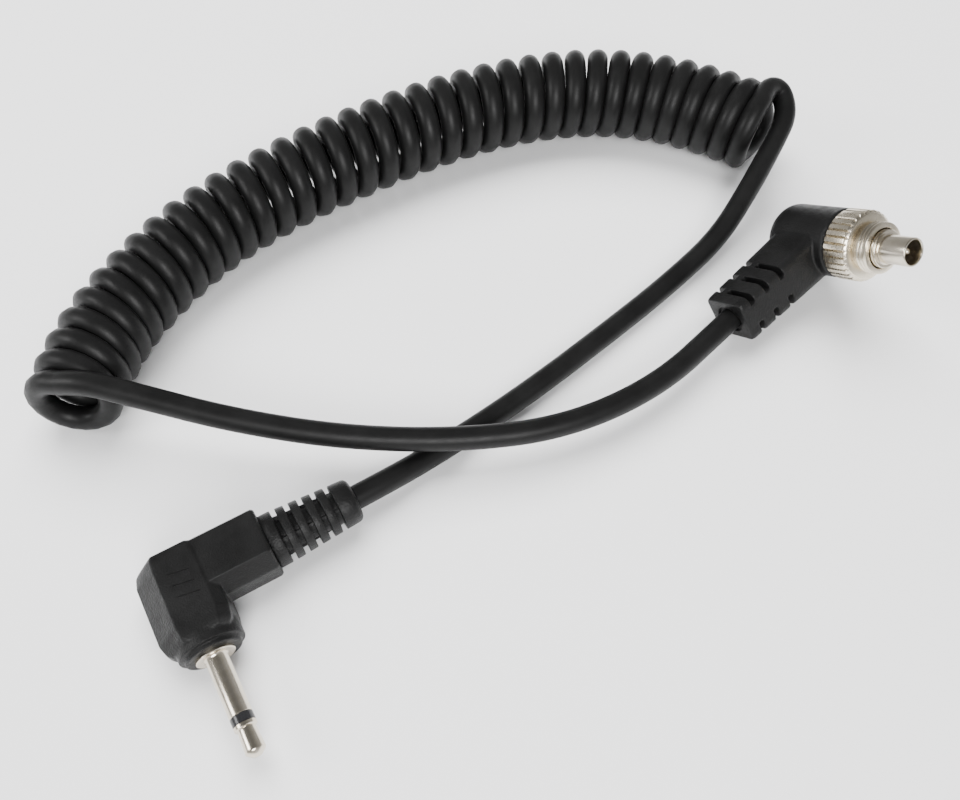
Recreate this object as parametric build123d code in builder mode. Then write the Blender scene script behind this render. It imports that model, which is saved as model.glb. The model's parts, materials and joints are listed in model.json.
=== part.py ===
"""Coiled flash sync cord, in millimetres.

A right-angle 2.5 mm mono jack plug, a curly cord with two straight leads, and a right-angle
PC sync plug whose knurled ring screws it to the camera. Everything lies on the plane z = 0.
The origin is under the middle of the box round the two plugs.
"""

import os
from math import tan, radians

from build123d import *

os.makedirs("parts", exist_ok=True)

# ---------------------------------------------------------------- driving dimensions

# Cord
CABLE_R = 1.5
COIL_R = 6.3
JACK_CABLE_START_X = 9.2
JACK_CABLE_STRAIGHT_X = 21.6
PC_CABLE_START_X = 8.0
PC_CABLE_STRAIGHT_X = 18.5

# Jack plug: origin on its axis at the flange's face, x along the arm to the cable, y away from the tip.
JACK_PIN_R = 1.25
JACK_AXIS_Z = 3.85
JACK_AT = (-36.23, -25.6, JACK_AXIS_Z)
JACK_ARM_DIRECTION = (0.867, 0.4985, 0)
JACK_HEAD_HEIGHT = 2 * JACK_AXIS_Z
JACK_ARM_HEIGHT = JACK_HEAD_HEIGHT - 0.4
JACK_HEAD_X = (-4.8, 3.65)
JACK_HEAD_Y = (1.9, 12.6)
JACK_ARM_X = (-2.5, 10.1)
JACK_ARM_Y = (5.4, 13.4)
JACK_CABLE_Y = 9.2
JACK_RELIEF_END_X = 21.0
JACK_HEAD_TOP_X = (-2.1, 2.5)
JACK_HEAD_CORNER = 1.8
JACK_ARM_TOP_Y = (6.8, 12.2)
JACK_ARM_CORNER = 0.8
ARM_HALF_HEIGHT = JACK_ARM_HEIGHT / 2
RELIEF_ROOT_R = 3.25
RELIEF_TIP_R = 2.65
WEB_TILT = 35
GRIP_LINES = [(0.3, 9.3), (0.4, 7.85), (0.5, 6.45)]
GRIP_LINE_TILT = -11
GRIP_LINE_LENGTH = 2.4
GRIP_LINE_WIDTH = 0.18
GRIP_LINE_DEPTH = 0.12

# PC plug: origin where its two axes cross, x along the arm to the cable, y along the contact axis.
PC_AT = (37.49, 29.7, 6.22)
PC_ARM_DIRECTION = Vector(-0.734, -0.664, -0.142).normalized()
PC_CONTACT_DIRECTION = Vector(0.461, -0.64, 0.615).normalized()
PC_HEAD_R = 4.5
PC_HEAD_Y = (-5.4, 5.0)
PC_ARM_LENGTH = 17.2
PC_ARM_ROOT = (7.4, 6.8)
PC_ARM_TIP = (6.4, 6.0)
PC_ARM_CORNER = 1.3
PC_BODY_R = 2.4
PC_WAIST_R = 2.0
PC_WAIST_Y = (6.4, 8.3)
PC_BODY_Y = (1.5, 11.4)
PC_SLEEVE_R = 1.8
PC_SLEEVE_WALL = 0.3
PC_SLEEVE_SEAT_R = 2.0
PC_SLEEVE_Y = (10.2, 15.15)
PC_HEAD_ROUND = 2.2
PC_FLANGE_R = 3.3
PC_FLANGE_END_Y = 2.4
INSULATOR_R = 1.3
INSULATOR_FACE_Y = 11.7
LUG_HOLE_R = 1.6
PC_LUG_REACH = 3.2
PC_MOULD_OUTLINE = [(-2.7, -2.2), (8.0, -2.2), (8.0, 2.2), (-2.7, 2.2)]
PC_MOULD_HALF = 2.0
PC_SLOT_COUNT = 3
PC_SLOT_LAST_X = 15.2
PC_SLOT_PITCH = 2.7
PC_SLOT_WIDTH = 0.8
PC_SLOT_FLOOR_R = 2.0
PC_CABLE_MOUTH_R = 1.95
PC_CABLE_MOUTH_DEPTH = 0.5
PC_PIN_R = 0.4
PC_PIN_Y = (0.4, 14.45)

# Each wrap-round slot of the PC plug's arm: its middle and size on the arm's section.
PC_SLOT_CORNERS = [
    (2.6, 3.1, 6.6, 2.8),
    (-3.3, 2.8, 3.4, 3.6),
    (3.4, -2.9, 3.0, 3.4),
    (-3.2, -3.0, 3.6, 3.0),
]

# Lock ring
RING_R = 4.55
RING_Y = (5.1, 8.7)
RING_NOSE_R = 3.25
RING_NOSE_Y = (9.1, 10.8)
RING_NECK_R = 2.95
RING_BORE_R = PC_BODY_R + 0.07
RING_MOUTH_R = 2.65
RING_MOUTH_Y = 9.0
KNURL_COUNT = 32
KNURL_DEPTH = 0.3
THREAD_PITCH = 0.5
THREAD_DEPTH = 0.22
CLIP_Y = (6.9, 7.4)
CLIP_R = (PC_WAIST_R + 0.06, 2.85)
CLIP_PLAY = 0.07
CLIP_GAP = 1.2

# The route of the cord, point by point.
JACK_LEAD_ROUTE = [
    (-13.0, 0.1, 1.5),
    (-1.5, 8.7, 1.5),
    (11.5, 19.9, 1.5),
    (22.5, 30.5, 1.6),
    (29.5, 39.6, 3.4),
    (34.5, 46.9, 6.2),
]
PC_LEAD_ROUTE = [
    (14.5, 8.1, 4.0),
    (2.3, 1.7, 4.8),
    (-10.5, -0.3, 5.4),
    (-24.0, -0.4, 6.3),
    (-37.0, 1.1, 7.8),
    (-48.5, 3.8, 9.6),
    (-56.5, 5.8, 10.6),
]
COIL_ROUTE = [
    (-58.0, 3.6, COIL_R),
    (-55.9, 13.3, COIL_R),
    (-51.0, 23.3, COIL_R),
    (-44.3, 31.7, COIL_R),
    (-35.5, 39.3, COIL_R),
    (-24.7, 46.1, COIL_R),
    (-12.9, 52.3, COIL_R),
    (-0.5, 56.5, COIL_R),
    (11.5, 57.7, COIL_R),
    (24.5, 54.9, COIL_R),
    (34.8, 50.0, COIL_R),
]

JACK = Plane(origin=JACK_AT, x_dir=JACK_ARM_DIRECTION, z_dir=(0, 0, 1))
JACK_FRONT = Plane(origin=JACK_AT, x_dir=JACK.x_dir, z_dir=-JACK.y_dir)
JACK_SIDE = Plane(origin=JACK_AT, x_dir=JACK.y_dir, z_dir=JACK.x_dir)
JACK_AXIS = Axis(JACK_AT, JACK.y_dir)
JACK_CABLE_AXIS = Axis(JACK.from_local_coords((0, JACK_CABLE_Y, 0)), JACK.x_dir)

PC = Plane(
    origin=PC_AT,
    x_dir=PC_ARM_DIRECTION,
    z_dir=PC_ARM_DIRECTION.cross(PC_CONTACT_DIRECTION),
)
PC_SECTION = Plane(origin=PC_AT, x_dir=PC.y_dir, z_dir=PC.x_dir)
PC_FRONT = Plane(origin=PC_AT, x_dir=PC.x_dir, z_dir=PC.y_dir)
PC_AXIS = Axis(PC_AT, PC.y_dir)


def local_points(plane, points):
    """Points given on a plane's own axes, as points in space."""
    return [plane.from_local_coords(point) for point in points]


def bend_radii(points):
    """The largest arc at each corner of a route that leaves a little of both its runs straight."""
    spots = [Vector(point) for point in points]
    radii = []
    for before, corner, after in zip(spots, spots[1:], spots[2:]):
        arriving = corner - before
        leaving = after - corner
        half_turn = radians(arriving.get_angle(leaving) / 2)
        radii.append(0.45 * min(arriving.length, leaving.length) / tan(half_turn))
    return radii


def round_bar(points, section_r):
    """A round bar along straight runs joined by tangent arcs."""
    with BuildPart() as bar:
        with BuildLine() as path:
            FilletPolyline(*points, radius=bend_radii(points))
        with BuildSketch(Plane(origin=path.line @ 0, z_dir=path.line % 0)):
            Circle(section_r)
        sweep()
    return bar


def turned(plane, outline, axis):
    """A turned piece: a closed outline on a plane, revolved about an axis in that plane."""
    with BuildPart() as piece:
        with BuildSketch(plane):
            with BuildLine():
                Polyline(*outline, close=True)
            make_face()
        revolve(axis=axis)
    return piece


def save(piece, name):
    """Label a finished piece and write its STEP file."""
    piece.part.label = name
    export_step(piece.part, f"parts/{name}.step")


# ---------------------------------------------------------------- the cord

curly_cord = round_bar(COIL_ROUTE, COIL_R)

jack_cable_start = [(JACK_CABLE_START_X, JACK_CABLE_Y, 0), (JACK_CABLE_STRAIGHT_X, JACK_CABLE_Y, 0)]
jack_lead_points = local_points(JACK, jack_cable_start) + JACK_LEAD_ROUTE
with BuildPart() as jack_lead:
    add(round_bar(jack_lead_points, CABLE_R).part)
    add(curly_cord.part, mode=Mode.SUBTRACT)

pc_cable_start = [(PC_CABLE_START_X, 0, 0), (PC_CABLE_STRAIGHT_X, 0, 0)]
pc_lead_points = local_points(PC, pc_cable_start) + PC_LEAD_ROUTE
with BuildPart() as pc_lead:
    add(round_bar(pc_lead_points, CABLE_R).part)
    add(curly_cord.part, mode=Mode.SUBTRACT)

print("coil bend radii", [round(r, 1) for r in bend_radii(COIL_ROUTE)])
print("jack lead bend radii", [round(r, 1) for r in bend_radii(jack_lead_points)])
print("pc lead bend radii", [round(r, 1) for r in bend_radii(pc_lead_points)])

# ---------------------------------------------------------------- jack plug: contacts

SLEEVE_TIP_Y = -6.85
BAND_TIP_Y = -7.8
TIP_SHOULDER_Y = -8.3
TIP_NOSE_Y = -10.8
TIP_END_Y = -11.45
SLEEVE_BORE_R = 0.95
ROD_R = 0.55
FLANGE_R = 2.2
FLANGE_Y = 0.35
BARREL_R = 1.9
BARREL_END_Y = 4.0
LUG_THICK = 0.25
GROUND_LUG_END_Y = BARREL_END_Y + LUG_THICK
WASHER_R = 1.6
WASHER_END_Y = GROUND_LUG_END_Y + 0.5
TIP_LUG_END_Y = WASHER_END_Y + LUG_THICK
LUG_TAIL_END_Y = 8.0
LUG_TAIL_WIDTH = 1.2
TIP_LUG_R = 1.6

jack_sleeve = turned(
    JACK,
    [
        (SLEEVE_BORE_R, SLEEVE_TIP_Y),
        (JACK_PIN_R, SLEEVE_TIP_Y),
        (JACK_PIN_R, 0),
        (FLANGE_R, 0),
        (FLANGE_R, FLANGE_Y),
        (BARREL_R, FLANGE_Y),
        (BARREL_R, BARREL_END_Y),
        (SLEEVE_BORE_R, BARREL_END_Y),
    ],
    JACK_AXIS,
)

jack_insulator = turned(
    JACK,
    [
        (ROD_R, BAND_TIP_Y),
        (JACK_PIN_R, BAND_TIP_Y),
        (JACK_PIN_R, SLEEVE_TIP_Y),
        (SLEEVE_BORE_R, SLEEVE_TIP_Y),
        (SLEEVE_BORE_R, GROUND_LUG_END_Y),
        (ROD_R, GROUND_LUG_END_Y),
    ],
    JACK_AXIS,
)

jack_tip = turned(
    JACK,
    [
        (0, TIP_END_Y),
        (0.45, TIP_END_Y),
        (1.1, TIP_NOSE_Y),
        (0.98, TIP_SHOULDER_Y),
        (JACK_PIN_R, TIP_SHOULDER_Y),
        (JACK_PIN_R, BAND_TIP_Y),
        (ROD_R, BAND_TIP_Y),
        (ROD_R, TIP_LUG_END_Y + 0.3),
        (0, TIP_LUG_END_Y + 0.3),
    ],
    JACK_AXIS,
)

jack_rear_washer = turned(
    JACK,
    [
        (ROD_R, GROUND_LUG_END_Y),
        (WASHER_R, GROUND_LUG_END_Y),
        (WASHER_R, WASHER_END_Y),
        (ROD_R, WASHER_END_Y),
    ],
    JACK_AXIS,
)


def solder_lug(disc_r, hole_r, disc_y, tail_x):
    """A flat ring round the contact's end with a tail bent back for the wire."""
    with BuildPart() as lug:
        with BuildSketch(JACK_FRONT.offset(-disc_y)):
            Circle(disc_r)
            Circle(hole_r, mode=Mode.SUBTRACT)
        extrude(amount=-LUG_THICK)
        tail_length = LUG_TAIL_END_Y - disc_y
        with BuildSketch(JACK_FRONT.offset(-disc_y)):
            with Locations((tail_x, 0)):
                Rectangle(LUG_THICK, LUG_TAIL_WIDTH)
        extrude(amount=-tail_length)
    return lug


GROUND_TAIL_X = BARREL_R - LUG_THICK / 2
TIP_TAIL_X = LUG_THICK / 2 - TIP_LUG_R
jack_ground_lug = solder_lug(BARREL_R, SLEEVE_BORE_R, BARREL_END_Y, GROUND_TAIL_X)
jack_tip_lug = solder_lug(TIP_LUG_R, ROD_R, WASHER_END_Y, TIP_TAIL_X)

# ---------------------------------------------------------------- jack plug: wires and solder

WIRE_R = 0.45
JOINT_R = 0.72
WIRE_RISE = 0.65
WIRE_END_Y = 7.2
JOINT_Y = (7.3, 7.9)
CORE_END_X = TIP_TAIL_X + LUG_THICK / 2 + WIRE_R + 0.05
DRAIN_END_X = GROUND_TAIL_X + LUG_THICK / 2 + WIRE_R + 0.05

jack_core_route = [
    (JACK_CABLE_START_X, JACK_CABLE_Y, WIRE_RISE),
    (4.0, 9.5, WIRE_RISE),
    (1.2, 9.9, 0.4),
    (CORE_END_X, 9.2, 0),
    (CORE_END_X, WIRE_END_Y, 0),
]
jack_core_wire = round_bar(local_points(JACK, jack_core_route), WIRE_R)
jack_drain_route = [
    (JACK_CABLE_START_X, JACK_CABLE_Y, -WIRE_RISE),
    (5.0, 9.2, -0.5),
    (DRAIN_END_X, 8.9, 0),
    (DRAIN_END_X, WIRE_END_Y, 0),
]
jack_drain_wire = round_bar(local_points(JACK, jack_drain_route), WIRE_R)

with BuildPart() as jack_solder:
    with BuildSketch(JACK_FRONT.offset(-JOINT_Y[0])):
        with Locations((CORE_END_X, 0), (DRAIN_END_X, 0)):
            Circle(JOINT_R)
            Circle(WIRE_R, mode=Mode.SUBTRACT)
        with Locations((TIP_TAIL_X, 0), (GROUND_TAIL_X, 0)):
            Rectangle(LUG_THICK, LUG_TAIL_WIDTH, mode=Mode.SUBTRACT)
    extrude(amount=JOINT_Y[0] - JOINT_Y[1])

# ---------------------------------------------------------------- jack plug: moulds

MOULD_HALF = 2.3
MOULD_OUTLINE = [(-3.0, 2.6), (2.5, 2.6), (2.5, 7.0), (9.2, 7.0), (9.2, 11.4), (-3.0, 11.4)]
COLLAR_STEPS = [(3.7, 0.9), (3.1, FLANGE_Y)]
ROOT_COLLAR_END_X = JACK_ARM_X[1] + 1.3
SLOT_COUNT = 5
SLOT_FIRST_X = 11.9
SLOT_PITCH = 1.62
SLOT_WIDTH = 0.6
SLOT_FLOOR_R = 1.95
WEB_WIDTH = 0.5

jack_contacts = [
    jack_sleeve,
    jack_insulator,
    jack_tip,
    jack_rear_washer,
    jack_ground_lug,
    jack_tip_lug,
    jack_core_wire,
    jack_drain_wire,
    jack_solder,
]

with BuildPart() as jack_mould_block:
    with BuildSketch(JACK.offset(-MOULD_HALF)):
        with BuildLine():
            Polyline(*MOULD_OUTLINE, close=True)
        make_face()
    extrude(amount=2 * MOULD_HALF)

with BuildPart() as jack_inner_mould:
    add(jack_mould_block.part)
    for piece in jack_contacts:
        add(piece.part, mode=Mode.SUBTRACT)

with BuildPart() as jack_head_block:
    with BuildSketch(JACK_FRONT.offset(-JACK_HEAD_Y[0])):
        with BuildLine():
            Polyline(
                (JACK_HEAD_TOP_X[0], JACK_AXIS_Z),
                (JACK_HEAD_TOP_X[1], JACK_AXIS_Z),
                (JACK_HEAD_X[1], 2.7),
                (JACK_HEAD_X[1], -2.7),
                (JACK_HEAD_TOP_X[1], -JACK_AXIS_Z),
                (JACK_HEAD_TOP_X[0], -JACK_AXIS_Z),
                (JACK_HEAD_X[0], -0.9),
                (JACK_HEAD_X[0], 0.9),
                close=True,
            )
        make_face()
    extrude(amount=JACK_HEAD_Y[0] - JACK_HEAD_Y[1])
    with BuildSketch(JACK.offset(-JACK_AXIS_Z)):
        with Locations((sum(JACK_HEAD_X) / 2, sum(JACK_HEAD_Y) / 2)):
            RectangleRounded(
                JACK_HEAD_X[1] - JACK_HEAD_X[0],
                JACK_HEAD_Y[1] - JACK_HEAD_Y[0],
                JACK_HEAD_CORNER,
            )
    extrude(amount=JACK_HEAD_HEIGHT, mode=Mode.INTERSECT)

with BuildPart() as jack_arm_block:
    with BuildSketch(JACK_SIDE.offset(JACK_ARM_X[0])):
        with BuildLine():
            Polyline(
                (JACK_ARM_TOP_Y[0], ARM_HALF_HEIGHT),
                (JACK_ARM_TOP_Y[1], ARM_HALF_HEIGHT),
                (JACK_ARM_Y[1], 1.4),
                (JACK_ARM_Y[1], -1.4),
                (JACK_ARM_TOP_Y[1], -ARM_HALF_HEIGHT),
                (JACK_ARM_TOP_Y[0], -ARM_HALF_HEIGHT),
                (JACK_ARM_Y[0], -1.4),
                (JACK_ARM_Y[0], 1.4),
                close=True,
            )
        make_face()
    extrude(amount=JACK_ARM_X[1] - JACK_ARM_X[0])
    with BuildSketch(JACK.offset(-JACK_AXIS_Z)):
        with Locations((sum(JACK_ARM_X) / 2, sum(JACK_ARM_Y) / 2)):
            RectangleRounded(
                JACK_ARM_X[1] - JACK_ARM_X[0],
                JACK_ARM_Y[1] - JACK_ARM_Y[0],
                JACK_ARM_CORNER,
            )
    extrude(amount=JACK_HEAD_HEIGHT, mode=Mode.INTERSECT)

with BuildPart() as jack_housing:
    add(jack_head_block.part)
    add(jack_arm_block.part)
    for collar_r, collar_y in COLLAR_STEPS:
        with BuildSketch(JACK_FRONT.offset(-collar_y)):
            Circle(collar_r)
        extrude(amount=collar_y - JACK_HEAD_Y[0] - 0.5)
    add(jack_mould_block.part, mode=Mode.SUBTRACT)
    with BuildSketch(JACK_FRONT):
        Circle(BARREL_R)
    extrude(amount=-MOULD_OUTLINE[0][1], mode=Mode.SUBTRACT)
    add(jack_lead.part, mode=Mode.SUBTRACT)
    with BuildSketch(JACK.offset(JACK_AXIS_Z)):
        with Locations(*GRIP_LINES):
            Rectangle(GRIP_LINE_LENGTH, GRIP_LINE_WIDTH, rotation=GRIP_LINE_TILT)
    extrude(amount=-GRIP_LINE_DEPTH, mode=Mode.SUBTRACT)

jack_relief_body = turned(
    JACK,
    [
        (JACK_ARM_X[1], JACK_CABLE_Y),
        (JACK_ARM_X[1], JACK_CABLE_Y + RELIEF_ROOT_R),
        (ROOT_COLLAR_END_X, JACK_CABLE_Y + RELIEF_ROOT_R),
        (JACK_RELIEF_END_X - 0.5, JACK_CABLE_Y + RELIEF_TIP_R),
        (JACK_RELIEF_END_X, JACK_CABLE_Y + RELIEF_TIP_R - 0.5),
        (JACK_RELIEF_END_X, JACK_CABLE_Y),
    ],
    JACK_CABLE_AXIS,
)

with BuildPart() as jack_slots:
    for slot in range(SLOT_COUNT):
        slot_start = SLOT_FIRST_X + slot * SLOT_PITCH - SLOT_WIDTH / 2
        with BuildSketch(JACK_SIDE.offset(slot_start)):
            with Locations((JACK_CABLE_Y, 0)):
                Circle(RELIEF_ROOT_R + 1)
                Circle(SLOT_FLOOR_R, mode=Mode.SUBTRACT)
                Rectangle(WEB_WIDTH, 3 * RELIEF_ROOT_R, rotation=WEB_TILT, mode=Mode.SUBTRACT)
                Rectangle(3 * RELIEF_ROOT_R, WEB_WIDTH, rotation=WEB_TILT, mode=Mode.SUBTRACT)
        extrude(amount=SLOT_WIDTH)

with BuildPart() as jack_strain_relief:
    add(jack_relief_body.part)
    add(jack_slots.part, mode=Mode.SUBTRACT)
    add(jack_lead.part, mode=Mode.SUBTRACT)

# ---------------------------------------------------------------- PC plug: contacts

pc_body = turned(
    PC,
    [
        (INSULATOR_R, PC_BODY_Y[0]),
        (PC_FLANGE_R, PC_BODY_Y[0]),
        (PC_FLANGE_R, PC_FLANGE_END_Y),
        (PC_BODY_R, PC_FLANGE_END_Y),
        (PC_BODY_R, PC_WAIST_Y[0]),
        (PC_WAIST_R, PC_WAIST_Y[0]),
        (PC_WAIST_R, PC_WAIST_Y[1]),
        (PC_BODY_R, PC_WAIST_Y[1]),
        (PC_BODY_R, PC_BODY_Y[1] - 0.35),
        (PC_BODY_R - 0.15, PC_BODY_Y[1] - 0.35),
        (PC_BODY_R - 0.15, PC_BODY_Y[1]),
        (PC_SLEEVE_SEAT_R, PC_BODY_Y[1]),
        (PC_SLEEVE_SEAT_R, PC_SLEEVE_Y[0]),
        (INSULATOR_R, PC_SLEEVE_Y[0]),
    ],
    PC_AXIS,
)

pc_sleeve = turned(
    PC,
    [
        (PC_SLEEVE_R - PC_SLEEVE_WALL, PC_SLEEVE_Y[0]),
        (PC_SLEEVE_SEAT_R, PC_SLEEVE_Y[0]),
        (PC_SLEEVE_SEAT_R, PC_BODY_Y[1]),
        (PC_SLEEVE_R, PC_BODY_Y[1]),
        (PC_SLEEVE_R, PC_SLEEVE_Y[1] - 0.1),
        (PC_SLEEVE_R - 0.1, PC_SLEEVE_Y[1]),
        (PC_SLEEVE_R - PC_SLEEVE_WALL, PC_SLEEVE_Y[1]),
    ],
    PC_AXIS,
)

pc_insulator = turned(
    PC,
    [
        (PC_PIN_R, PC_BODY_Y[0]),
        (INSULATOR_R, PC_BODY_Y[0]),
        (INSULATOR_R, PC_SLEEVE_Y[0]),
        (PC_SLEEVE_R - PC_SLEEVE_WALL, PC_SLEEVE_Y[0]),
        (PC_SLEEVE_R - PC_SLEEVE_WALL, INSULATOR_FACE_Y),
        (PC_PIN_R, INSULATOR_FACE_Y),
    ],
    PC_AXIS,
)

with BuildPart() as pc_pin:
    with BuildSketch(PC):
        with BuildLine():
            Polyline(
                (0, PC_PIN_Y[1]),
                (0, PC_PIN_Y[0]),
                (PC_PIN_R, PC_PIN_Y[0]),
                (PC_PIN_R, PC_PIN_Y[1] - PC_PIN_R),
            )
            RadiusArc((PC_PIN_R, PC_PIN_Y[1] - PC_PIN_R), (0, PC_PIN_Y[1]), -PC_PIN_R)
        make_face()
    revolve(axis=PC_AXIS)

with BuildPart() as pc_ground_lug:
    with BuildSketch(PC_FRONT.offset(PC_BODY_Y[0])):
        Circle(PC_FLANGE_R)
        Circle(LUG_HOLE_R, mode=Mode.SUBTRACT)
        with Locations((PC_LUG_REACH / 2 + 1.5, 0)):
            Rectangle(PC_LUG_REACH, LUG_TAIL_WIDTH)
    extrude(amount=-LUG_THICK)

# ---------------------------------------------------------------- PC plug: lock ring and clip

thread_crests = int((RING_NOSE_Y[1] - RING_NOSE_Y[0]) / THREAD_PITCH)
thread_outline = []
for crest in range(thread_crests):
    crest_y = RING_NOSE_Y[0] + crest * THREAD_PITCH
    thread_outline.append((RING_NOSE_R - THREAD_DEPTH, crest_y))
    thread_outline.append((RING_NOSE_R, crest_y + 0.4 * THREAD_PITCH))
    thread_outline.append((RING_NOSE_R, crest_y + 0.6 * THREAD_PITCH))

ring_turned = turned(
    PC,
    [
        (RING_BORE_R, RING_Y[0]),
        (RING_R - 0.25, RING_Y[0]),
        (RING_R, RING_Y[0] + 0.25),
        (RING_R, RING_Y[1] - 0.45),
        (RING_R - 0.45, RING_Y[1]),
        (RING_NECK_R, RING_Y[1]),
        (RING_NECK_R, RING_NOSE_Y[0]),
        *thread_outline,
        (RING_NOSE_R, RING_NOSE_Y[1] - 0.15),
        (RING_NOSE_R - 0.15, RING_NOSE_Y[1]),
        (RING_MOUTH_R, RING_NOSE_Y[1]),
        (RING_MOUTH_R, RING_MOUTH_Y),
        (RING_BORE_R, RING_MOUTH_Y),
        (RING_BORE_R, CLIP_Y[1] + CLIP_PLAY),
        (CLIP_R[1] + CLIP_PLAY, CLIP_Y[1] + CLIP_PLAY),
        (CLIP_R[1] + CLIP_PLAY, CLIP_Y[0] - CLIP_PLAY),
        (RING_BORE_R, CLIP_Y[0] - CLIP_PLAY),
    ],
    PC_AXIS,
)

with BuildPart() as knurl_grooves:
    with BuildSketch(PC_FRONT.offset(RING_Y[0])):
        with PolarLocations(RING_R, KNURL_COUNT):
            RegularPolygon(KNURL_DEPTH, 4)
    extrude(amount=RING_Y[1] - RING_Y[0])

with BuildPart() as pc_lock_ring:
    add(ring_turned.part)
    add(knurl_grooves.part, mode=Mode.SUBTRACT)

with BuildPart() as pc_snap_ring:
    with BuildSketch(PC_FRONT.offset(CLIP_Y[0])):
        Circle(CLIP_R[1])
        Circle(CLIP_R[0], mode=Mode.SUBTRACT)
        with Locations((-CLIP_R[1], 0)):
            Rectangle(CLIP_R[1], CLIP_GAP, mode=Mode.SUBTRACT)
    extrude(amount=CLIP_Y[1] - CLIP_Y[0])

# ---------------------------------------------------------------- PC plug: wires and solder

DRAIN_AXIS_Y = PC_BODY_Y[0] - LUG_THICK - WIRE_R - 0.05
DRAIN_END_REACH = 3.5
PC_JOINT_X = (3.6, 4.5)

pc_core_route = [
    (PC_CABLE_START_X, -0.5, -WIRE_RISE),
    (6.2, -0.5, -WIRE_RISE),
    (3.6, -1.5, -0.6),
    (1.3, -1.7, -0.3),
    (0, -1.1, 0),
    (0, PC_PIN_Y[0], 0),
]
pc_drain_route = [
    (PC_CABLE_START_X, DRAIN_AXIS_Y, WIRE_RISE),
    (6.4, DRAIN_AXIS_Y, 0.5),
    (5.2, DRAIN_AXIS_Y, 0),
    (DRAIN_END_REACH, DRAIN_AXIS_Y, 0),
]
pc_core_wire = round_bar(local_points(PC, pc_core_route), WIRE_R)
pc_drain_wire = round_bar(local_points(PC, pc_drain_route), WIRE_R)

with BuildPart() as pc_solder:
    with BuildSketch(PC):
        with BuildLine():
            Polyline(
                (WIRE_R, -0.3),
                (0.65, -0.3),
                (JOINT_R, 0.1),
                (JOINT_R, 0.8),
                (0.6, 1.2),
                (PC_PIN_R, 1.2),
                (PC_PIN_R, PC_PIN_Y[0]),
                (WIRE_R, PC_PIN_Y[0]),
                close=True,
            )
        make_face()
    revolve(axis=PC_AXIS)
    with BuildSketch(PC_SECTION.offset(PC_JOINT_X[0])):
        with Locations((DRAIN_AXIS_Y, 0)):
            Circle(JOINT_R)
            Circle(WIRE_R, mode=Mode.SUBTRACT)
        with Locations((PC_BODY_Y[0] - LUG_THICK / 2, 0)):
            Rectangle(LUG_THICK, LUG_TAIL_WIDTH, mode=Mode.SUBTRACT)
    extrude(amount=PC_JOINT_X[1] - PC_JOINT_X[0])

# ---------------------------------------------------------------- PC plug: moulds

with BuildPart() as pc_mould_block:
    with BuildSketch(PC):
        with BuildLine():
            Polyline(*PC_MOULD_OUTLINE, close=True)
        make_face()
    extrude(amount=PC_MOULD_HALF, both=True)

pc_contacts = [pc_body, pc_insulator, pc_pin, pc_ground_lug, pc_core_wire, pc_drain_wire, pc_solder, pc_lead]
with BuildPart() as pc_inner_mould:
    add(pc_mould_block.part)
    for piece in pc_contacts:
        add(piece.part, mode=Mode.SUBTRACT)

with BuildPart() as pc_head:
    with BuildSketch(PC):
        with BuildLine():
            RadiusArc(
                (PC_HEAD_R - PC_HEAD_ROUND, PC_HEAD_Y[0]),
                (PC_HEAD_R, PC_HEAD_Y[0] + PC_HEAD_ROUND),
                -PC_HEAD_ROUND,
            )
            Polyline(
                (PC_HEAD_R, PC_HEAD_Y[0] + PC_HEAD_ROUND),
                (PC_HEAD_R, PC_HEAD_Y[1]),
                (0, PC_HEAD_Y[1]),
                (0, PC_HEAD_Y[0]),
                (PC_HEAD_R - PC_HEAD_ROUND, PC_HEAD_Y[0]),
            )
        make_face()
    revolve(axis=PC_AXIS)

with BuildPart() as pc_arm:
    with BuildSketch(PC_SECTION):
        RectangleRounded(*PC_ARM_ROOT, PC_ARM_CORNER)
    with BuildSketch(PC_SECTION.offset(PC_ARM_LENGTH)):
        RectangleRounded(*PC_ARM_TIP, PC_ARM_CORNER)
    loft()

with BuildPart() as pc_slots:
    for slot in range(PC_SLOT_COUNT):
        slot_x = PC_SLOT_LAST_X - slot * PC_SLOT_PITCH
        with BuildSketch(PC_SECTION.offset(slot_x - PC_SLOT_WIDTH / 2)):
            for corner_y, corner_z, width, height in PC_SLOT_CORNERS:
                with Locations((corner_y, corner_z)):
                    Rectangle(width, height)
            Circle(PC_SLOT_FLOOR_R, mode=Mode.SUBTRACT)
        extrude(amount=PC_SLOT_WIDTH)

with BuildPart() as pc_housing:
    add(pc_head.part)
    add(pc_arm.part)
    add(pc_slots.part, mode=Mode.SUBTRACT)
    for piece in (pc_mould_block, pc_body, pc_ground_lug, pc_lead):
        add(piece.part, mode=Mode.SUBTRACT)
    with BuildSketch(PC_FRONT.offset(PC_BODY_Y[0])):
        Circle(PC_BODY_R)
    extrude(amount=PC_HEAD_Y[1] - PC_BODY_Y[0], mode=Mode.SUBTRACT)
    with BuildSketch(PC_SECTION.offset(PC_ARM_LENGTH)):
        Circle(PC_CABLE_MOUTH_R)
    extrude(amount=-PC_CABLE_MOUTH_DEPTH, mode=Mode.SUBTRACT)

# ---------------------------------------------------------------- write every piece

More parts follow.
